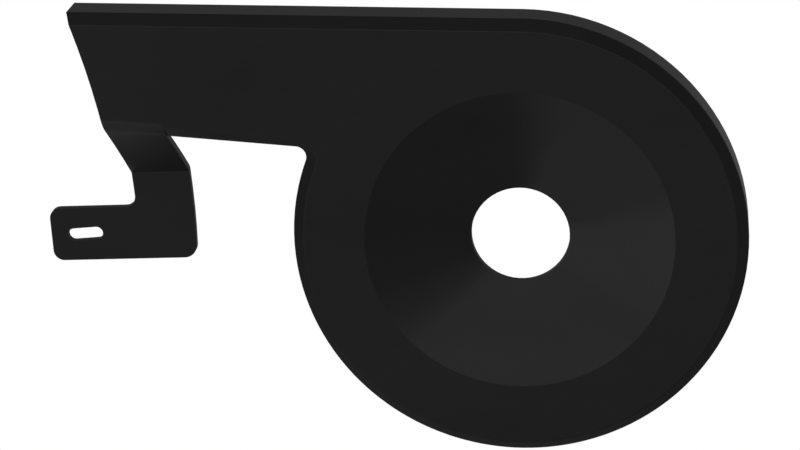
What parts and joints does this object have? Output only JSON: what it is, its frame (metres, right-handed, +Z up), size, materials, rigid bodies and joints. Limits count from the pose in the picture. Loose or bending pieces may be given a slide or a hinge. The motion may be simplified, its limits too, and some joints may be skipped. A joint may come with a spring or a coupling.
{
  "type": "bicycle chain guard",
  "caption": "Black moulded bicycle chain guard: a dished disc round a crank hole, a tapering arm over the chain and a joggled tab to a slotted fixing foot.",
  "frame": {"origin": "on the crank axis, level with the outboard rim of the crank hole", "axes": "+X forwards along the bicycle, +Y inboard towards the frame, +Z up"},
  "size_m": [0.2918, 0.033, 0.1928],
  "materials": {
    "guard_plastic": "satin"
  },
  "bodies": {
    "root": {"chain_guard": "guard_plastic"}
  },
  "joints": []
}
